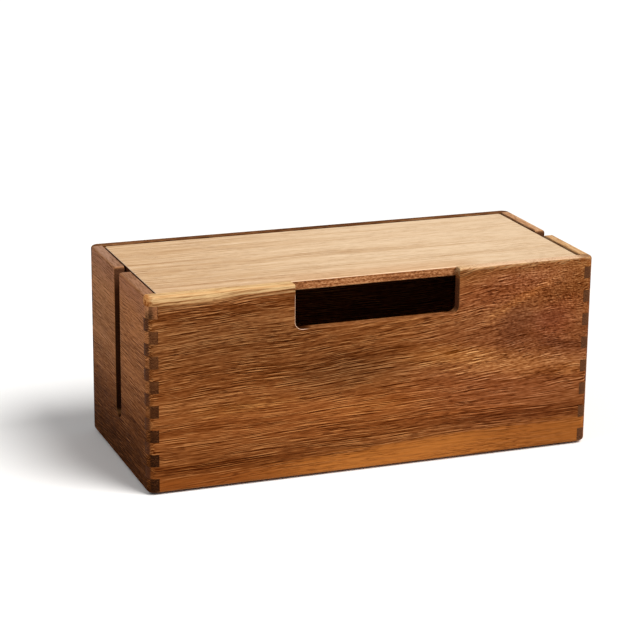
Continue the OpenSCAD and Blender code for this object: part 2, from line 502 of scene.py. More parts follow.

# %% [markdown]
# ## One recipe for all the boards, with its own values for each
#
# Every board shares the same steps. Its layers of grain are added up into one value, the tone, and
# a colour ramp turns the tone into brown, so that a dark streak in a pale band is still a natural
# colour of that wood. Then the pores are drawn, the ends of the fibres drink more oil and go
# darker, and the rounded edges go paler, partly from sanding and partly as a painted highlight.
# What differs is the colours, the sizes and the way that the fibres run, so those are the
# recipe's values.

# %% The shared steps of a wooden board
TURN_OF_GRAIN = {
    "x": (0.0, 0.0, 0.0),
    "flat x": (math.pi / 2, 0.0, 0.0),
    "y": (0.0, 0.0, -math.pi / 2),
    "z": (0.0, math.pi / 2, 0.0),
}
GRAIN_SIZES = ("Bend", "Ripple", "Band Width", "Streak Length", "Streak Width")


def wood_material(name, recipe, warp=None, quiet=None, figure=None, zones=None):
    """A wooden board's material; the functions bend, quieten, shade and overlay its grain."""
    material = bpy.data.materials.new(name)
    material.use_nodes = True
    tree = material.node_tree
    tree.nodes.clear()
    here = add(tree, "ShaderNodeTexCoord").outputs["Object"]
    turned = add(
        tree,
        "ShaderNodeMapping",
        {
            "Vector": warp(tree, here) if warp else here,
            "Location": recipe["shift"],
            "Rotation": TURN_OF_GRAIN[recipe["grain"]],
        },
    ).outputs[0]
    grain = add(tree, "ShaderNodeGroup", node_tree=wood_grain)
    tree.links.new(turned, grain.inputs["Vector"])
    for label in GRAIN_SIZES:
        grain.inputs[label].default_value = recipe[label]
    grain = grain.outputs

    normal = add(tree, "ShaderNodeNewGeometry").outputs["Normal"]
    upward = add(tree, "ShaderNodeSeparateXYZ", {0: vector_sum(tree, "ABSOLUTE", normal)}).outputs[2]
    strength = quiet(tree, here) if quiet else {}
    rim = fade(tree, upward, 0.5, 0.9, 1.0, recipe["rim strength"])
    strength["Lines"] = sum_of(tree, "MULTIPLY", rim, strength.get("Lines", 1.0))
    tone = recipe["tone"]
    for label in TONE_LAYERS:
        share = sum_of(tree, "MULTIPLY", sum_of(tree, "SUBTRACT", grain[label], 0.5), recipe[label])
        share = sum_of(tree, "MULTIPLY", share, strength.get(label, 1.0))
        tone = sum_of(tree, "ADD", tone, share)
    if figure:
        tone = figure(tree, here, grain, tone)
    colour = ramp(tree, tone, *recipe["colours"])
    if zones:
        colour = zones(tree, here, grain, colour)
    pore_share = sum_of(tree, "MULTIPLY", grain["Pores"], recipe["pore share"])
    colour = blend_colours(tree, pore_share, colour, recipe["pore colour"], "MULTIPLY")

    ends = add(tree, "ShaderNodeAttribute", attribute_name="end_grain").outputs["Fac"]
    ends = sum_of(tree, "MULTIPLY", fade(tree, ends, 0.6, 0.82), recipe["end share"])
    ends = sum_of(tree, "MULTIPLY", ends, strength.get("Ends", 1.0))
    colour = blend_colours(tree, ends, colour, recipe["end colour"], "MULTIPLY")
    wax = sum_of(tree, "MULTIPLY", ends, recipe["end wax"])
    colour = blend_colours(tree, wax, colour, screen(100, 72, 54))

    edge = add(tree, "ShaderNodeGroup", node_tree=sanded_and_highlit_edge)
    tree.links.new(normal, edge.inputs["Normal"])
    tree.links.new(here, edge.inputs["Vector"])
    # rounded edges go paler: partly sanding wear, partly a painted highlight
    worn_and_highlit = sum_of(tree, "MULTIPLY", edge.outputs[0], recipe["edge share"])
    worn_and_highlit = sum_of(tree, "MULTIPLY", worn_and_highlit, strength.get("Edges", 1.0))
    colour = blend_colours(tree, worn_and_highlit, colour, recipe["edge colour"])

    gloss = fade(tree, grain["Mottle"], 0.3, 0.7, recipe["gloss"] - 0.05, recipe["gloss"] + 0.05)
    gloss = sum_of(tree, "ADD", gloss, sum_of(tree, "MULTIPLY", grain["Pores"], 0.12))
    height = sum_of(tree, "MULTIPLY", grain["Pores"], -0.6)
    height = sum_of(tree, "ADD", height, sum_of(tree, "MULTIPLY", grain["Fibres"], 0.35))
    bump = add(tree, "ShaderNodeBump", {"Strength": 0.3, "Distance": 0.0002, "Height": height})

    surface = add(tree, "ShaderNodeBsdfPrincipled", {"Base Color": colour, "Roughness": gloss})
    surface.inputs["Specular IOR Level"].default_value = recipe["specular"]
    tree.links.new(bump.outputs[0], surface.inputs["Normal"])
    add(tree, "ShaderNodeOutputMaterial", {"Surface": surface.outputs[0]})
    return material


# %% [markdown]
# ## The front board's own figure
#
# The front board is a picture of its own. Near its right end the log had a branch, and the grain
# climbs round it: heights are pushed down there before the grain is drawn, so the streaks rise.
# Soft patches then tint the board, some darker, some redder and some golden, as minerals and light
# tint real heartwood. Each is an ellipse with a centre, a half size and a slope, and its tint
# multiplies the grain under it, so every streak stays visible and a patch is moved by two numbers.


# %% The soft patch group
def soft_patch_group():
    """1 in the middle of an ellipse in the plane of X and Z, fading to 0 at its edge."""
    inputs = (
        ("Vector", "Vector", None),
        ("Centre", "Vector", (0.0, 0.0, 0.0)),
        ("Half Size", "Vector", (0.05, 1.0, 0.01)),
        ("Slope", "Float", 0.0),
    )
    tree, given, result = new_group("soft_patch", inputs, (("Mask", "Float"),))
    place = vector_sum(tree, "SUBTRACT", given["Vector"], given["Centre"])
    turning = {"Vector": place, "Angle": given["Slope"]}
    place = add(tree, "ShaderNodeVectorRotate", turning, rotation_type="Y_AXIS")
    place = vector_sum(tree, "DIVIDE", place.outputs[0], given["Half Size"])
    place = vector_sum(tree, "MULTIPLY", place, (1.0, 0.0, 1.0))
    reach = add(tree, "ShaderNodeVectorMath", {0: place}, operation="LENGTH").outputs["Value"]
    tree.links.new(fade(tree, reach, 0.15, 1.0, 1.0, 0.0), result["Mask"])
    return tree


soft_patch = soft_patch_group()
print("soft_patch:", len(soft_patch.nodes), "nodes")


# %% Measured along the front board, from its lower left corner, in millimetres
def across(distance):
    """The X of a distance from the left end."""
    return distance * MM - HALF_LENGTH


def above(distance):
    """The Z of a height above the lower edge of the walls."""
    return WALL_FOOT + distance * MM


FRONT_PATCHES = (
    ((50, 97), (120, 34), 0, (0.82, 0.86, 0.94)),
    ((130, 68), (62, 22), 0, (0.76, 0.80, 0.88)),
    ((150, 41), (210, 26), 0, (1.16, 1.08, 0.98)),
    ((152, 42), (52, 6), 2, (1.12, 1.14, 1.08)),
    ((62, 51), (52, 7), 2, (1.08, 1.14, 1.08)),
    ((45, 15), (110, 7), -1, (0.68, 0.58, 0.44)),
    ((262, 25), (105, 9), 0, (0.74, 0.64, 0.54)),
    ((240, 62), (84, 14), -8, (1.40, 1.58, 1.42)),
    ((204, 72), (52, 11), -4, (1.25, 1.32, 1.25)),
    ((253, 104), (42, 4.5), 27, (1.40, 1.50, 1.38)),
    ((240, 112), (66, 16), 8, (1.16, 1.08, 1.26)),
    ((277, 88), (24, 19), 0, (0.98, 0.82, 0.86)),
    ((271, 90), (24, 11), 0, (0.76, 0.74, 0.77)),
    ((291, 100), (14, 9), 0, (1.18, 1.16, 1.22)),
    ((249, 87), (19, 25), -24, (0.76, 0.73, 0.79)),
    ((282, 71), (36, 5), -14, (0.72, 0.66, 0.68)),
    ((255, 60), (110, 70), 0, (1.12, 1.14, 1.56)),
    ((255, 119), (60, 10), 0, (1.15, 1.25, 1.50)),
    ((292, 52), (18, 10), 0, (1.30, 1.40, 1.40)),
    ((225, 31), (50, 5), 0, (1.28, 1.30, 1.24)),
    ((272, 21), (50, 4), 0, (0.80, 0.72, 0.62)),
    ((55, 120), (64, 7), 0, (1.26, 1.32, 1.46)),
    ((4, 109), (9, 6), 0, (1.35, 1.50, 1.70)),
    ((300, 121), (10, 8), 0, (1.25, 1.35, 1.40)),
    ((304, 16), (5, 5), 0, (1.90, 2.00, 1.70)),
)


# %% A tint, and the distance from the outline of an opening
def tint(tree, mask, colour, levels):
    """Multiply a colour where the mask is 1."""
    return blend_colours(tree, mask, colour, (*levels, 1.0), "MULTIPLY")


def product(tree, *values):
    """All the values multiplied together."""
    result = values[0]
    for value in values[1:]:
        result = sum_of(tree, "MULTIPLY", result, value)
    return result


def from_opening(tree, sideways, height, half, floor, radius):
    """How far a point lies in the wood from the outline of a notch or slot."""
    beyond = sum_of(tree, "SUBTRACT", sum_of(tree, "ABSOLUTE", sideways), half - radius)
    below = sum_of(tree, "SUBTRACT", floor + radius, height)
    reach = add(tree, "ShaderNodeCombineXYZ", {0: beyond, 1: below}).outputs[0]
    reach = vector_sum(tree, "MAXIMUM", reach, (0.0, 0.0, 0.0))
    reach = add(tree, "ShaderNodeVectorMath", {0: reach}, operation="LENGTH").outputs["Value"]
    return sum_of(tree, "SUBTRACT", reach, radius)


# %% The climbing grain, the patches and the zones of the front board
def front_warp(tree, here):
    """Make the grain climb and crowd towards the upper right, and run long and level at the foot."""
    parts = add(tree, "ShaderNodeSeparateXYZ", {0: here}).outputs
    right = fade(tree, parts[0], across(185), across(305))
    upper = fade(tree, parts[2], above(35), above(125))
    push = sum_of(tree, "MULTIPLY", sum_of(tree, "MULTIPLY", right, upper), -7 * MM)
    climb = fade(tree, parts[2], above(30), above(65), -0.02, -0.06)
    push = sum_of(tree, "ADD", push, sum_of(tree, "MULTIPLY", parts[0], climb))
    crowding = sum_of(tree, "MAXIMUM", sum_of(tree, "SUBTRACT", parts[0], across(200)), 0.0)
    crowding = sum_of(tree, "MULTIPLY", sum_of(tree, "MULTIPLY", crowding, crowding), 14.0)
    crowding = sum_of(tree, "MULTIPLY", crowding, upper)
    longer = sum_of(tree, "MULTIPLY", parts[0], fade(tree, parts[2], above(30), above(65), -0.3, 0.0))
    along = sum_of(tree, "ADD", crowding, longer)
    moved = add(tree, "ShaderNodeCombineXYZ", {0: along, 2: push}).outputs[0]
    return vector_sum(tree, "ADD", here, moved)


def front_quiet(tree, here):
    """How strong each layer is: round the branch the fibres meet the face as specks, not lines."""
    patch = add(tree, "ShaderNodeGroup", node_tree=soft_patch)
    tree.links.new(here, patch.inputs["Vector"])
    patch.inputs["Centre"].default_value = (across(272), 0.0, above(84))
    patch.inputs["Half Size"].default_value = (100 * MM, 1.0, 66 * MM)
    parts = add(tree, "ShaderNodeSeparateXYZ", {0: here}).outputs
    calm = fade(tree, parts[0], across(150), across(225), 1.0, 0.8)
    lines = fade(tree, patch.outputs[0], 0.0, 1.0, 1.0, 0.66)
    specks = fade(tree, parts[2], above(84), above(112), 1.6, 2.7)
    return {
        "Lines": sum_of(tree, "MULTIPLY", lines, calm),
        "Speckle": fade(tree, patch.outputs[0], 0.0, 1.0, 1.0, specks),
        "Streaks": calm,
        "Bands": calm,
        "Ends": fade(tree, parts[2], above(119.5), above(121.8), 1.0, 0.1),
        "Edges": fade(tree, parts[0], across(190), across(240), 1.0, 0.4),
    }


def front_patches(tree, here, grain, colour):
    """Tint the front board by its soft patches."""
    ragged = sum_of(tree, "MULTIPLY", sum_of(tree, "SUBTRACT", grain["Streaks"], 0.5), 12 * MM)
    ragged = add(tree, "ShaderNodeCombineXYZ", {2: ragged}).outputs[0]
    place = vector_sum(tree, "ADD", here, ragged)
    for centre, half, slope, levels in FRONT_PATCHES:
        patch = add(tree, "ShaderNodeGroup", node_tree=soft_patch)
        tree.links.new(place, patch.inputs["Vector"])
        patch.inputs["Centre"].default_value = (across(centre[0]), 0.0, above(centre[1]))
        patch.inputs["Half Size"].default_value = (half[0] * MM, 1.0, half[1] * MM)
        patch.inputs["Slope"].default_value = math.radians(slope)
        colour = tint(tree, patch.outputs[0], colour, levels)
    return colour


def notch_shade_and_highlight(tree, parts, colour):
    """Painted shade darkens the notch's left corner, its floor is paler, and a painted highlight runs
    along the arris beside it.
    """
    away = from_opening(tree, parts[0], parts[2], NOTCH_WIDTH / 2, NOTCH_FLOOR, NOTCH_RADIUS)
    cut = fade(tree, away, 0.1 * MM, 0.3 * MM, 1.0, 0.0)
    left = fade(tree, parts[0], 7 * MM - NOTCH_WIDTH / 2, 13 * MM - NOTCH_WIDTH / 2, 1.0, 0.0)
    # painted shade in the notch's left corner
    colour = tint(tree, product(tree, cut, left), colour, (0.25, 0.2, 0.18))
    floor = fade(tree, parts[2], NOTCH_FLOOR + 1 * MM, NOTCH_FLOOR + 2.5 * MM, 1.0, 0.0)
    floor = product(tree, cut, floor, sum_of(tree, "SUBTRACT", 1.0, left))
    colour = tint(tree, floor, colour, (1.25, 1.4, 1.7))
    outer = fade(tree, parts[1], 0.3 * MM - HALF_DEPTH, 0.5 * MM - HALF_DEPTH, 1.0, 0.0)
    # a painted highlight along the notch's outer arris, near its left end
    arris = fade(tree, away, 0.26 * MM, 0.42 * MM, 1.0, 0.0)
    near = fade(tree, parts[0], 5 * MM - NOTCH_WIDTH / 2, 10 * MM - NOTCH_WIDTH / 2, 1.0, 0.0)
    arris = product(tree, arris, fade(tree, away, 0.0, 0.1 * MM), outer, near)
    arris = product(tree, arris, fade(tree, parts[2], RIM - 9 * MM, RIM - 6 * MM, 0.85, 0.0))
    return blend_colours(tree, arris, colour, screen(226, 192, 168))


def front_zones(tree, here, grain, colour):
    """Tint the patches, and lay the sapwood along the rim and the golden strip along the foot."""
    colour = front_patches(tree, here, grain, colour)
    parts = add(tree, "ShaderNodeSeparateXYZ", {0: here}).outputs
    ragged = sum_of(tree, "SUBTRACT", grain["Streaks"], 0.5)
    height = sum_of(tree, "ADD", parts[2], sum_of(tree, "MULTIPLY", ragged, 12 * MM))

    sap_line = fade(tree, parts[0], across(0), across(90), above(121), above(125))
    higher = fade(tree, parts[0], across(190), across(230), 0.0, 4.5 * MM)
    sap_line = sum_of(tree, "ADD", sap_line, higher)
    sapwood = fade(tree, sum_of(tree, "SUBTRACT", height, sap_line), -5 * MM, 4 * MM)
    right = fade(tree, parts[0], across(190), across(240))
    cap_line = sum_of(tree, "MULTIPLY", right, 1.8 * MM)
    cap_line = sum_of(tree, "SUBTRACT", sum_of(tree, "SUBTRACT", parts[2], above(125.5)), cap_line)
    cap = fade(tree, cap_line, 0.0, fade(tree, right, 0.0, 1.0, 2 * MM, 0.5 * MM))
    cap = product(tree, cap, fade(tree, parts[0], across(292), across(300), 1.0, 0.35))
    sapwood = sum_of(tree, "MAXIMUM", sapwood, cap)
    sap_low = ramp(tree, grain["Streaks"], (0.38, screen(148, 102, 60)), (0.54, screen(176, 132, 86)))
    sap_high = ramp(tree, grain["Streaks"], (0.38, screen(178, 138, 92)), (0.54, screen(206, 171, 123)))
    sap_high = blend_colours(tree, product(tree, right, cap), sap_high, screen(216, 180, 146))
    sap_colour = blend_colours(tree, fade(tree, height, above(122), above(127)), sap_low, sap_high)
    colour = blend_colours(tree, sum_of(tree, "MULTIPLY", sapwood, 0.95), colour, sap_colour)
    tip = fade(tree, parts[0], across(1), across(4), 1.0, 0.0)
    tip = product(tree, tip, fade(tree, parts[2], above(119), above(122)))
    colour = tint(tree, tip, colour, (0.95, 0.68, 0.46))

    gold_line = fade(tree, parts[0], across(40), across(265), above(9.5), above(18.5))
    gold = fade(tree, sum_of(tree, "SUBTRACT", gold_line, height), -1.5 * MM, 2.5 * MM)
    bright = fade(tree, parts[0], across(50), across(135))
    dimmer = fade(tree, parts[0], across(190), across(260), 1.0, 0.5)
    bright = sum_of(tree, "MULTIPLY", bright, dimmer)
    gold_colour = blend_colours(tree, bright, screen(124, 66, 24), screen(166, 100, 42))
    gold_share = ramp(tree, grain["Streaks"], (0.3, (0.45, 0.45, 0.45, 1)), (0.6, (0.9, 0.9, 0.9, 1)))
    colour = blend_colours(tree, sum_of(tree, "MULTIPLY", gold, gold_share), colour, gold_colour)
    return notch_shade_and_highlight(tree, parts, colour)


# %% Zones of the left end and of the lid
def left_painted_shade(tree, here, grain, tone):
    """The left end is paler towards its rim and darker towards its foot: painted shade, as less light
    reaches its lower part.
    """
    parts = add(tree, "ShaderNodeSeparateXYZ", {0: here}).outputs
    return sum_of(tree, "ADD", tone, fade(tree, parts[2], above(0), above(120), -0.4, 0.35))


def slot_painted_shade(tree, here, grain, colour):
    """Painted shade darkens the sides of the slot, where little light reaches into it."""
    parts = add(tree, "ShaderNodeSeparateXYZ", {0: here}).outputs
    away = from_opening(tree, parts[1], parts[2], SLOT_WIDTH / 2, SLOT_FLOOR, SLOT_WIDTH / 2)
    # painted shade on the sides of the slot, fading out towards the rim
    inside = fade(tree, away, 0.1 * MM, 0.3 * MM, 1.0, 0.0)
    inside = product(tree, inside, fade(tree, parts[2], above(112), above(124), 1.0, 0.0))
    return tint(tree, inside, colour, (0.4, 0.3, 0.24))


def left_zones(tree, here, grain, colour):
    """Painted shade in the slot, a greyer rim, and a pale topmost finger in front with a painted shadow
    beside it.
    """
    colour = slot_painted_shade(tree, here, grain, colour)
    parts = add(tree, "ShaderNodeSeparateXYZ", {0: here}).outputs
    finger = fade(tree, parts[1], -66 * MM, -62 * MM, 1.0, 0.0)
    finger = product(tree, finger, fade(tree, parts[2], above(106), above(116)))
    # painted shadow beside the pale topmost finger, on the left face near the front
    outer = fade(tree, parts[0], 2.5 * MM - HALF_LENGTH, 6 * MM - HALF_LENGTH, 1.0, 0.0)
    outer = product(tree, outer, fade(tree, parts[1], -64.5 * MM, -62.5 * MM, 1.0, 0.0))
    outer = product(tree, outer, fade(tree, parts[2], above(106), above(110)))
    outer = product(tree, outer, fade(tree, parts[2], above(115), above(122), 1.0, 0.5))
    colour = tint(tree, finger, colour, (3.0, 3.3, 3.3))
    colour = tint(tree, outer, colour, (0.2, 0.2, 0.2))
    upper = fade(tree, parts[2], above(106), above(124))
    colour = tint(tree, upper, colour, (0.80, 0.80, 0.98))
    rim = fade(tree, parts[2], above(126.9), above(127.6))
    colour = tint(tree, rim, colour, (1.0, 1.25, 1.55))
    back = fade(tree, parts[1], -20 * MM, 40 * MM)
    back = product(tree, back, fade(tree, parts[2], above(40), above(80)))
    return tint(tree, back, colour, (1.0, 1.1, 1.25))


def back_zones(tree, here, grain, colour):
    """A greyer rim."""
    height = add(tree, "ShaderNodeSeparateXYZ", {0: here}).outputs[2]
    return tint(tree, fade(tree, height, above(126.2), above(127.4)), colour, (0.82, 1.02, 1.4))


def right_zones(tree, here, grain, colour):
    """Painted shade in the slot, and a paler rim, palest in front."""
    colour = slot_painted_shade(tree, here, grain, colour)
    parts = add(tree, "ShaderNodeSeparateXYZ", {0: here}).outputs
    rim = fade(tree, parts[2], above(126.2), above(127.2))
    colour = tint(tree, rim, colour, (1.06, 1.31, 1.93))
    front = fade(tree, parts[1], -10 * MM, 10 * MM, 1.0, 0.0)
    return tint(tree, product(tree, rim, front), colour, (1.18, 1.29, 1.21))


def lid_zones(tree, here, grain, colour):
    """The lid's sapwood is a thin layer on top; its edge and its underside are heartwood."""
    parts = add(tree, "ShaderNodeSeparateXYZ", {0: here}).outputs
    below = fade(tree, parts[2], lid_high.z - 0.7 * MM, lid_high.z - 0.35 * MM, 1.0, 0.0)
    tone = stretch(tree, here, 520.0, 1100.0, 1.0, 0.7)
    tone = sum_of(tree, "MULTIPLY", sum_of(tree, "ADD", grain["Streaks"], tone), 0.5)
    dark, middle, light = screen(98, 54, 28), screen(144, 90, 53), screen(184, 132, 90)
    heart = ramp(tree, tone, (0.38, dark), (0.5, middle), (0.62, light))
    # darker and more orange near the lid's front middle: partly the wood's own tone, partly painted
    # shadow
    golden = fade(tree, parts[1], -56 * MM, -34 * MM, 1.0, 0.0)
    golden = product(tree, golden, fade(tree, parts[0], across(70), across(120), 0.35, 1.0))
    golden = product(tree, golden, fade(tree, parts[0], across(205), across(240), 1.0, 0.0))
    colour = tint(tree, golden, colour, (0.90, 0.80, 0.72))
    return blend_colours(tree, below, colour, heart)


def lid_upper_edge_highlight(tree, here):
    """Only the upper half of the lid's rounded edge is paler: partly rubbed, partly a painted highlight
    where the edge turns up to the light.
    """
    height = add(tree, "ShaderNodeSeparateXYZ", {0: here}).outputs[2]
    return {"Edges": fade(tree, height, lid_high.z - 0.6 * MM, lid_high.z - 0.3 * MM)}


def lid_painted_light(tree, here, grain, tone):
    """The lid is palest near its right end: painted light, falling off towards its left end."""
    parts = add(tree, "ShaderNodeSeparateXYZ", {0: here}).outputs
    return sum_of(tree, "ADD", tone, fade(tree, parts[0], across(20), across(290), -0.05, 0.42))


# %% The recipes of the boards
HEARTWOOD = {
    "grain": "x",
    "shift": (0.0, 0.0, 0.0),
    "Bend": 0.010,
    "Ripple": 0.0011,
    "Band Width": 0.017,
    "Streak Length": 0.034,
    "Streak Width": 0.0013,
    "tone": 0.5,
    "Bands": 1.2,
    "Streaks": 0.7,
    "Lines": 1.7,
    "Speckle": 0.5,
    "Mottle": 0.1,
    "Fibres": 0.9,
    "colours": (
        (0.0, screen(58, 20, 0)),
        (0.12, screen(78, 35, 4)),
        (0.32, screen(99, 51, 19)),
        (0.5, screen(115, 65, 29)),
        (0.7, screen(131, 79, 40)),
        (0.88, screen(148, 95, 52)),
        (1.0, screen(165, 111, 64)),
    ),
    "pore share": 0.7,
    "pore colour": screen(140, 104, 64),
    "rim strength": 0.4,
    "end share": 0.95,
    "end colour": screen(158, 134, 108),
    "end wax": 0.25,
    "edge share": 0.28,
    "edge colour": screen(180, 124, 76),
    "gloss": 0.5,
    "specular": 0.01,
}
BACKWOOD = dict(HEARTWOOD, shift=(0.37, 0.21, 0.13))
LEFTWOOD = dict(
    HEARTWOOD,
    grain="y",
    shift=(0.11, 0.43, 0.29),
    Bands=1.0,
    Streaks=0.5,
    Lines=1.1,
    Speckle=0.35,
    colours=((0.0, screen(50, 20, 0)), (0.5, screen(112, 65, 31)), (1.0, screen(168, 111, 69))),
    gloss=0.65,
    specular=0.015,
)
LEFTWOOD.update({"Streak Length": 0.028, "pore share": 0.4})
LEFTWOOD.update({"end colour": screen(142, 134, 128), "end wax": 0.05})
RIGHTWOOD = dict(
    HEARTWOOD,
    grain="y",
    shift=(0.51, 0.23, 0.69),
    colours=((0.0, screen(112, 64, 30)), (0.5, screen(170, 112, 64)), (1.0, screen(200, 148, 96))),
)
RIGHTWOOD.update({"end colour": screen(112, 92, 78), "rim strength": 0.2})
LIDWOOD = dict(
    HEARTWOOD,
    grain="flat x",
    shift=(0.71, 0.31, 0.17),
    Bend=0.006,
    Ripple=0.001,
    tone=0.58,
    Bands=1.6,
    Streaks=0.5,
    Lines=1.3,
    Speckle=0.2,
    Mottle=0.2,
    Fibres=0.6,
    colours=(
        (0.0, screen(148, 108, 70)),
        (0.5, screen(189, 155, 118)),
        (1.0, screen(214, 187, 155)),
    ),
)
LIDWOOD.update({
    "Band Width": 0.014,
    "Streak Length": 0.06,
    "Streak Width": 0.0018,
    "pore share": 0.25,
    "rim strength": 1.0,
    # a strong pale edge: partly rubbed wear, partly a painted highlight along the lid's upper arris
    "edge share": 0.6,
    "edge colour": screen(240, 213, 182),
    # the lid's dark end colour: partly its oiled end grain, partly painted shade in the gap between the
    # lid and the walls
    "end colour": screen(96, 72, 58),
    "end wax": 0.0,
})
POSTWOOD = dict(BACKWOOD, grain="z", shift=(0.2, 0.9, 0.4), gloss=0.65)
BOTTOMWOOD = dict(LIDWOOD, shift=(0.9, 0.5, 0.7), gloss=0.65)
BOTTOMWOOD["colours"] = (
    (0.0, screen(116, 76, 42)),
    (0.5, screen(164, 120, 76)),
    (1.0, screen(192, 150, 104)),
)

materials = {
    "front": wood_material("front_wood", HEARTWOOD, front_warp, front_quiet, zones=front_zones),
    "back": wood_material("back_wood", BACKWOOD, zones=back_zones),
    "left": wood_material("left_wood", LEFTWOOD, figure=left_painted_shade, zones=left_zones),
    "right": wood_material("right_wood", RIGHTWOOD, zones=right_zones),
    "lid": wood_material("lid_wood", LIDWOOD, quiet=lid_upper_edge_highlight, figure=lid_painted_light, zones=lid_zones),
    "bottom": wood_material("bottom_wood", BOTTOMWOOD),
    "post": wood_material("post_wood", POSTWOOD),
}
print("woods:", sorted(materials))

# %% [markdown]
# ## Finger joints from a rule
#
# A finger joint follows a rule: every second step of each corner belongs to the other board. It
# could be modelled by hand with sixty-four little boxes, but a Geometry Nodes tree says it once. A
# column of blocks stands on each of the four corner points, and the columns are taken from a slab.
# What is left is the space of one board, and the finished walls are cut down to it. Because all
# four boards come from the same sanded walls, the fingers lie flush on the rounded corners.

# %% The finger joint tree
JOINT_INPUTS = (
    ("Walls", "Geometry"),
    ("Slab Centre", "Vector"),
    ("Slab Size", "Vector"),
    ("Corner Spread X", "Float"),
    ("Corner Spread Y", "Float"),
    ("First Block Height", "Float"),
    ("Block Size", "Vector"),
    ("Block Step", "Vector"),
    ("Block Count", "Int"),
    ("Cut The Foot", "Bool"),
    ("Foot Block Height", "Float"),
    ("Material", "Material"),
)


def geometry_tree(name, inputs):
    """An empty Geometry Nodes tree with named inputs: its tree, inputs and output socket."""
    tree = bpy.data.node_groups.new(name, "GeometryNodeTree")
    for label, kind in inputs:
        tree.interface.new_socket(label, in_out="INPUT", socket_type="NodeSocket" + kind)
    tree.interface.new_socket("Geometry", in_out="OUTPUT", socket_type="NodeSocketGeometry")
    given = tree.nodes.new("NodeGroupInput").outputs
    return tree, given, tree.nodes.new("NodeGroupOutput").inputs[0]


def finish_tree(tree, geometry, material, result):
    """Realize the instances, set the material and hand the result over."""
    real = add(tree, "GeometryNodeRealizeInstances", {0: geometry}).outputs[0]
    dressed = add(tree, "GeometryNodeSetMaterial", {0: real, "Material": material})
    tree.links.new(dressed.outputs[0], result)


def finger_joint_tree():
    """Keeps the part of the walls that lies in one board's slab and its own fingers."""
    tree, given, result = geometry_tree("finger_joint", JOINT_INPUTS)
    slab = add(tree, "GeometryNodeMeshCube", {"Size": given["Slab Size"]}).outputs[0]
    slab = add(tree, "GeometryNodeTransform", {0: slab, "Translation": given["Slab Centre"]})
    corner_inputs = {
        "Size X": given["Corner Spread X"],
        "Size Y": given["Corner Spread Y"],
        "Vertices X": 2,
        "Vertices Y": 2,
    }
    corners = add(tree, "GeometryNodeMeshGrid", corner_inputs).outputs[0]
    start = add(tree, "ShaderNodeCombineXYZ", {2: given["First Block Height"]}).outputs[0]
    column_inputs = {
        "Count": given["Block Count"],
        "Start Location": start,
        "Offset": given["Block Step"],
    }
    column = add(tree, "GeometryNodeMeshLine", column_inputs).outputs[0]
    columns = add(tree, "GeometryNodeInstanceOnPoints", {"Points": corners, "Instance": column})
    columns = add(tree, "GeometryNodeRealizeInstances", {0: columns.outputs[0]}).outputs[0]
    block = add(tree, "GeometryNodeMeshCube", {"Size": given["Block Size"]}).outputs[0]
    blocks = add(tree, "GeometryNodeInstanceOnPoints", {"Points": columns, "Instance": block})
    blocks = add(tree, "GeometryNodeRealizeInstances", {0: blocks.outputs[0]}).outputs[0]
    foot_place = add(tree, "ShaderNodeCombineXYZ", {2: given["Foot Block Height"]}).outputs[0]
    foot_points = add(tree, "GeometryNodeTransform", {0: corners, "Translation": foot_place}).outputs[0]
    foot_blocks = add(tree, "GeometryNodeInstanceOnPoints", {"Points": foot_points, "Instance": block})
    foot_blocks = add(tree, "GeometryNodeRealizeInstances", {0: foot_blocks.outputs[0]}).outputs[0]
    feet = add(tree, "GeometryNodeSwitch", {"Switch": given["Cut The Foot"]}, input_type="GEOMETRY")
    tree.links.new(foot_blocks, feet.inputs["True"])
    space = add(tree, "GeometryNodeMeshBoolean", operation="DIFFERENCE", solver="EXACT")
    tree.links.new(slab.outputs[0], space.inputs["Mesh 1"])
    tree.links.new(blocks, space.inputs["Mesh 2"])
    tree.links.new(feet.outputs[0], space.inputs["Mesh 2"])
    board = add(tree, "GeometryNodeMeshBoolean", operation="INTERSECT", solver="EXACT")
    tree.links.new(given["Walls"], board.inputs["Mesh 2"])
    tree.links.new(space.outputs[0], board.inputs["Mesh 2"])
    finish_tree(tree, board.outputs[0], given["Material"], result)
    return tree


finger_joint = finger_joint_tree()
print("finger_joint:", len(finger_joint.nodes), "nodes")


# %% Run a tree on a copy of a mesh, with its inputs set by name
def grow(name, source, tree, values):
    """A plain mesh object made by a tree from another object's mesh."""
    piece = bpy.data.objects.new(name, source.data.copy())
    bpy.context.scene.collection.objects.link(piece)
    growing = piece.modifiers.new(name, "NODES")
    growing.node_group = tree
    given = [item for item in tree.interface.items_tree if item.in_out == "INPUT"]
    sockets = {item.name: item.identifier for item in given}
    for label, value in values.items():
        growing[sockets[label]] = value
    settle(piece)
    return piece


# %% Smooth the rounded edges, keep the joints crisp and note the ends of the fibres
SHARP_ANGLE = math.radians(32)


def finish_surface(piece, fibre=None):
    """Smooth normals that leave the flat faces flat; fibre is the way that the grain runs."""
    mesh = piece.data
    work = bmesh.new()
    work.from_mesh(mesh)
    bmesh.ops.remove_doubles(work, verts=work.verts, dist=0.002 * MM)
    bmesh.ops.dissolve_degenerate(work, edges=work.edges, dist=0.002 * MM)
    work.to_mesh(mesh)
    work.free()
    mesh.shade_smooth()
    mesh.set_sharp_from_angle(angle=SHARP_ANGLE)
    weighting = piece.modifiers.new("flat_faces", "WEIGHTED_NORMAL")
    weighting.keep_sharp = True
    weighting.weight = 100
    settle(piece)
    if fibre:
        note = piece.data.attributes.new("end_grain", "FLOAT", "CORNER")
        along = Vector(fibre)
        shares = [abs(corner.normal.dot(along)) for corner in piece.data.loops]
        note.data.foreach_set("value", shares)


# %% [markdown]
# ## The four boards
#
# The two end boards take the even steps, starting at the foot, and the front and back boards take
# the odd ones, so the uppermost finger of each corner belongs to the front or the back. A hair of
# space is left along each joint: it is the glue line, and it reads as a thin dark line.


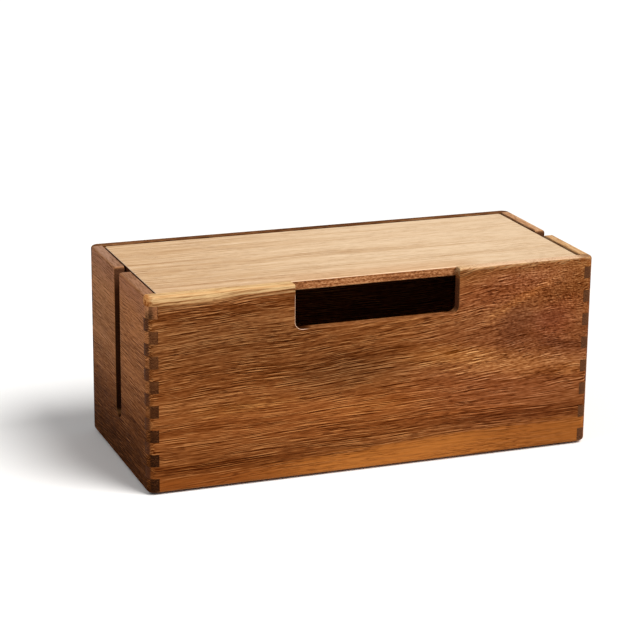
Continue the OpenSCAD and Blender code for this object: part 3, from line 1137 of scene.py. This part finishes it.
# %% Cut the walls into boards
def make_board(name, long_side, side, own_step, material):
    """One wall board: long_side says which way it runs, and side which of the pair it is."""
    spread_x, spread_y = 2 * HALF_LENGTH - WALL, 2 * HALF_DEPTH - WALL
    thick = WALL - JOINT_LINE / 2 + PAST
    middle = PAST / 2 + JOINT_LINE / 4
    past_end = 2 * PAST
    centre_z = (WALL_FOOT + RIM) / 2
    if long_side:
        size = (2 * HALF_LENGTH + past_end, thick, WALL_HEIGHT + past_end)
        centre = (0.0, side * (HALF_DEPTH - WALL / 2 + middle), centre_z)
    else:
        size = (thick, 2 * HALF_DEPTH + past_end, WALL_HEIGHT + past_end)
        centre = (side * (HALF_LENGTH - WALL / 2 + middle), 0.0, centre_z)
    other_step = 1 - own_step
    first_block = WALL_FOOT + FOOT_FINGER + (other_step - 0.5) * FINGER_HEIGHT
    values = {
        "Slab Centre": centre,
        "Slab Size": size,
        "Corner Spread X": spread_x,
        "Corner Spread Y": spread_y,
        "First Block Height": first_block,
        "Block Size": (WALL + JOINT_LINE, WALL + JOINT_LINE, FINGER_HEIGHT + JOINT_LINE),
        "Block Step": (0.0, 0.0, 2 * FINGER_HEIGHT),
        "Block Count": round(WALL_HEIGHT / FINGER_HEIGHT / 2),
        "Cut The Foot": long_side,
        "Foot Block Height": WALL_FOOT,
        "Material": material,
    }
    board = grow(name, walls, finger_joint, values)
    finish_surface(board, (1, 0, 0) if long_side else (0, 1, 0))
    return board


front_board = make_board("front_board", True, -1, 1, materials["front"])
back_board = make_board("back_board", True, 1, 1, materials["back"])
left_board = make_board("left_end_board", False, -1, 0, materials["left"])
right_board = make_board("right_end_board", False, 1, 0, materials["right"])
discard(walls)
for board in (front_board, back_board, left_board, right_board):
    print(board.name, len(board.data.polygons), "faces")

# %% [markdown]
# ## The lid and the bottom board
#
# Both are plain boards, but they are finished differently. The lid is handled every day, so its
# corners are rounded and its edges are well eased. The bottom board sits in a groove, so it keeps
# nearly sharp edges that nobody sees.

# %% Make the lid and the bottom board
LID_CORNER = 2 * MM
LID_EDGE = 0.8 * MM
BOTTOM_CORNER = 0.5 * MM
BOTTOM_EDGE = 0.2 * MM

lid = eased_block("lid", lid_low, lid_high, LID_CORNER, LID_EDGE)
bottom = eased_block("bottom_board", bottom_low, bottom_high, BOTTOM_CORNER, BOTTOM_EDGE)
for piece, material in ((lid, "lid"), (bottom, "bottom")):
    piece.data.materials.append(materials[material])
    finish_surface(piece, (1, 0, 0))
    print(piece.name, len(piece.data.polygons), "faces")

# %% [markdown]
# ## What stands at the four corners
#
# The corner posts that carry the lid and the rubber feet under the bottom both repeat at four
# corners, so one tree places them: it sets a copy on each point of a two by two grid and turns it
# a quarter turn from one corner to the next. A post is square except for its edge that faces into
# the room, and a foot is a moulded rubber button with a shallow dish under it.

# %% The four corners tree
CORNER_INPUTS = (
    ("Piece", "Geometry"),
    ("Spread X", "Float"),
    ("Spread Y", "Float"),
    ("Material", "Material"),
)


def four_corners_tree():
    """A copy on each of four corners, turned to face the middle."""
    tree, given, result = geometry_tree("four_corners", CORNER_INPUTS)
    grid_inputs = {"Size X": given["Spread X"], "Size Y": given["Spread Y"]}
    grid_inputs.update({"Vertices X": 2, "Vertices Y": 2})
    points = add(tree, "GeometryNodeMeshGrid", grid_inputs).outputs[0]
    place = tree.nodes.new("GeometryNodeInputPosition").outputs[0]
    parts = add(tree, "ShaderNodeSeparateXYZ", {0: place}).outputs
    signs = [sum_of(tree, "SIGN", part) for part in parts[:2]]
    angle = sum_of(tree, "ARCTAN2", signs[1], signs[0])
    angle = sum_of(tree, "ADD", angle, math.radians(135))
    turning = add(tree, "ShaderNodeCombineXYZ", {2: angle}).outputs[0]
    turning = add(tree, "FunctionNodeEulerToRotation", {0: turning}).outputs[0]
    copies = add(
        tree,
        "GeometryNodeInstanceOnPoints",
        {"Points": points, "Instance": given["Piece"], "Rotation": turning},
    )
    finish_tree(tree, copies.outputs[0], given["Material"], result)
    return tree


four_corners = four_corners_tree()
print("four_corners:", len(four_corners.nodes), "nodes")

# %% The corner posts
post_low, post_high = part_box("corner_post_front_left")
POST_WIDTH = post_high.x - post_low.x
POST_RADIUS = 3 * MM
POST_EDGE = 0.5 * MM


def post_outline(pull):
    """A square from the corner of the walls into the room, with its far corner rounded."""
    far = POST_WIDTH - pull
    bend = arc((far - POST_RADIUS, far - POST_RADIUS), POST_RADIUS, 0, 90, 8)
    return [(0.0, 0.0), (far, 0.0)] + bend + [(0.0, far)]


curve = quarter_curve(POST_EDGE, 3)
levels = [(post_low.z + rise, pull) for rise, pull in curve]
levels += [(post_high.z - rise, pull) for rise, pull in reversed(curve)]
post = loft("post", [[(x, y, height) for x, y in post_outline(pull)] for height, pull in levels])
corner_spreads = (-2 * post_low.x, -2 * post_low.y)
post_values = {
    "Spread X": corner_spreads[0],
    "Spread Y": corner_spreads[1],
    "Material": materials["post"],
}
corner_posts = grow("corner_posts", post, four_corners, post_values)
discard(post)
finish_surface(corner_posts, (0, 0, 1))
print("corner_posts", len(corner_posts.data.polygons), "faces")

# %% [markdown]
# ## Rubber
#
# Moulded rubber is nearly black, dull and very slightly mottled, with a bloom of dust on it. A fine
# noise moves both its colour and its roughness, and a finer one gives it the grain of the mould.


# %% The rubber of the feet
def rubber_material():
    """Dull black rubber."""
    material = bpy.data.materials.new("foot_rubber")
    material.use_nodes = True
    tree = material.node_tree
    tree.nodes.clear()
    here = add(tree, "ShaderNodeTexCoord").outputs["Object"]
    bloom = noise(tree, here, 380.0, 3.0).outputs[0]
    colour = ramp(tree, bloom, (0.35, screen(30, 29, 28)), (0.7, screen(52, 50, 48)))
    dull = fade(tree, bloom, 0.3, 0.7, 0.55, 0.72)
    pits = noise(tree, here, 3200.0, 1.0).outputs[0]
    bump = add(tree, "ShaderNodeBump", {"Strength": 0.3, "Distance": 0.00005, "Height": pits})
    surface = add(tree, "ShaderNodeBsdfPrincipled", {"Base Color": colour, "Roughness": dull})
    tree.links.new(bump.outputs[0], surface.inputs["Normal"])
    add(tree, "ShaderNodeOutputMaterial", {"Surface": surface.outputs[0]})
    return material


materials["rubber"] = rubber_material()

# %% The rubber feet
foot_low, foot_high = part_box("foot_front_left")
FOOT_ROUND = 64
foot_middle = (foot_low + foot_high) / 2
foot_profile = [(1.0, 0.45), (2.4, 0.4), (2.9, 0.3), (3.2, 0.12), (3.5, 0.02), (3.8, 0.0)]
foot_profile += [(4.2 + x, 0.8 - z) for x, z in arc((0, 0), 0.8, 90, 0, 6)]
foot_profile += [(5.75, 4.75), (5.72, 4.85), (5.78, 4.92), (5.95, 4.95), (6.0, 5.02)]
foot_profile += [(6.0, foot_high.z / MM - 0.02), (5.98, foot_high.z / MM)]


def ring_of(radius, height):
    """A circle of points, in millimetres."""
    angles = [2 * math.pi * step / FOOT_ROUND for step in range(FOOT_ROUND)]
    return [(radius * MM * math.cos(a), radius * MM * math.sin(a), height * MM) for a in angles]


foot = loft("foot", [ring_of(radius, height) for radius, height in foot_profile])
foot_values = {
    "Spread X": -2 * foot_middle.x,
    "Spread Y": -2 * foot_middle.y,
    "Material": materials["rubber"],
}
feet = grow("rubber_feet", foot, four_corners, foot_values)
discard(foot)
finish_surface(feet)
print("rubber_feet", len(feet.data.polygons), "faces")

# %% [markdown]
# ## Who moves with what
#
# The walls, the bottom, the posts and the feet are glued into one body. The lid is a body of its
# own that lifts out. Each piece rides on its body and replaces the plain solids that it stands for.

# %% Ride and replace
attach(front_board, "box")
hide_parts("front_panel")

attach(back_board, "box")
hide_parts("back_panel")

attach(left_board, "box")
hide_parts("left_end_panel")

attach(right_board, "box")
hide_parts("right_end_panel")

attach(bottom, "box")
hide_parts("bottom_panel")

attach(corner_posts, "box")
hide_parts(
    "corner_post_front_left",
    "corner_post_front_right",
    "corner_post_back_left",
    "corner_post_back_right",
)

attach(feet, "box")
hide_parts("foot_front_left", "foot_front_right", "foot_back_left", "foot_back_right")

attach(lid, "lid")
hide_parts("lid_board")

# %% [markdown]
# ## The floor
#
# The box stands on a plain pale floor that only has to catch a soft shadow. It is large enough to
# fill the picture, and its colour is close to that of the room, so that no horizon shows.


# %% Lay the floor
def floor_material():
    """Plain matt white."""
    material = bpy.data.materials.new("floor_paint")
    material.use_nodes = True
    tree = material.node_tree
    tree.nodes.clear()
    here = add(tree, "ShaderNodeTexCoord").outputs["Object"]
    tone = noise(tree, here, 3.0, 2.0).outputs[0]
    colour = ramp(tree, tone, (0.3, (0.86, 0.86, 0.86, 1)), (0.7, (0.89, 0.89, 0.89, 1)))
    surface = add(tree, "ShaderNodeBsdfPrincipled", {"Base Color": colour, "Roughness": 0.8})
    surface.inputs["Specular IOR Level"].default_value = 0.2
    add(tree, "ShaderNodeOutputMaterial", {"Surface": surface.outputs[0]})
    return material


FLOOR_HALF = 6.0
floor_mesh = bpy.data.meshes.new("floor")
floor_corners = [(x * FLOOR_HALF, y * FLOOR_HALF, 0.0) for x, y in ((-1, -1), (1, -1), (1, 1), (-1, 1))]
floor_mesh.from_pydata(floor_corners, [], [(0, 1, 2, 3)])
floor_mesh.materials.append(floor_material())
floor = bpy.data.objects.new("floor", floor_mesh)
bpy.context.scene.collection.objects.link(floor)
print("floor", 2 * FLOOR_HALF, "m square")

# %% [markdown]
# ## Soft studio light
#
# The main light comes from above, from the right and from in front, and it is broad, so its shadows
# are soft. The top is brightest, the front comes next and the left end is darkest. A weak soft box
# on the left keeps that end alive, and a pale room fills the shadows.


# %% Light the studio
def soft_box(name, place, size, watts, colour):
    """A square area light that faces the middle of the box."""
    lamp = bpy.data.lights.new(name, "AREA")
    lamp.size = size
    lamp.energy = watts
    lamp.color = colour
    made = bpy.data.objects.new(name, lamp)
    made.location = place
    aim = Vector((0.0, 0.0, 0.06)) - Vector(place)
    made.rotation_euler = aim.to_track_quat("-Z", "Y").to_euler()
    bpy.context.scene.collection.objects.link(made)


key = bpy.data.lights.new("key_light", "SUN")
key.energy = 3.9
key.angle = math.radians(36)
key.color = (1.0, 0.985, 0.96)
key_light = bpy.data.objects.new("key_light", key)
key_light.rotation_euler = Vector((-0.42, 0.46, -0.78)).to_track_quat("-Z", "Y").to_euler()
bpy.context.scene.collection.objects.link(key_light)
soft_box("left_light", (-0.62, -0.22, 0.62), 0.3, 1.6, (1.0, 0.98, 0.96))

world = bpy.data.worlds.new("studio")
world.use_nodes = True
world_tree = world.node_tree
ROOM_COLOUR = (1.0, 1.0, 1.0, 1.0)
ROOM_STRENGTH = 0.28
BACKDROP_STRENGTH = 1.0
seen = add(world_tree, "ShaderNodeLightPath").outputs["Is Camera Ray"]
strength = fade(world_tree, seen, 0.0, 1.0, ROOM_STRENGTH, BACKDROP_STRENGTH)
background = world_tree.nodes["Background"]
background.inputs["Color"].default_value = ROOM_COLOUR
world_tree.links.new(strength, background.inputs["Strength"])
bpy.context.scene.world = world
bpy.context.scene.view_settings.view_transform = "Standard"
print("lights ready")
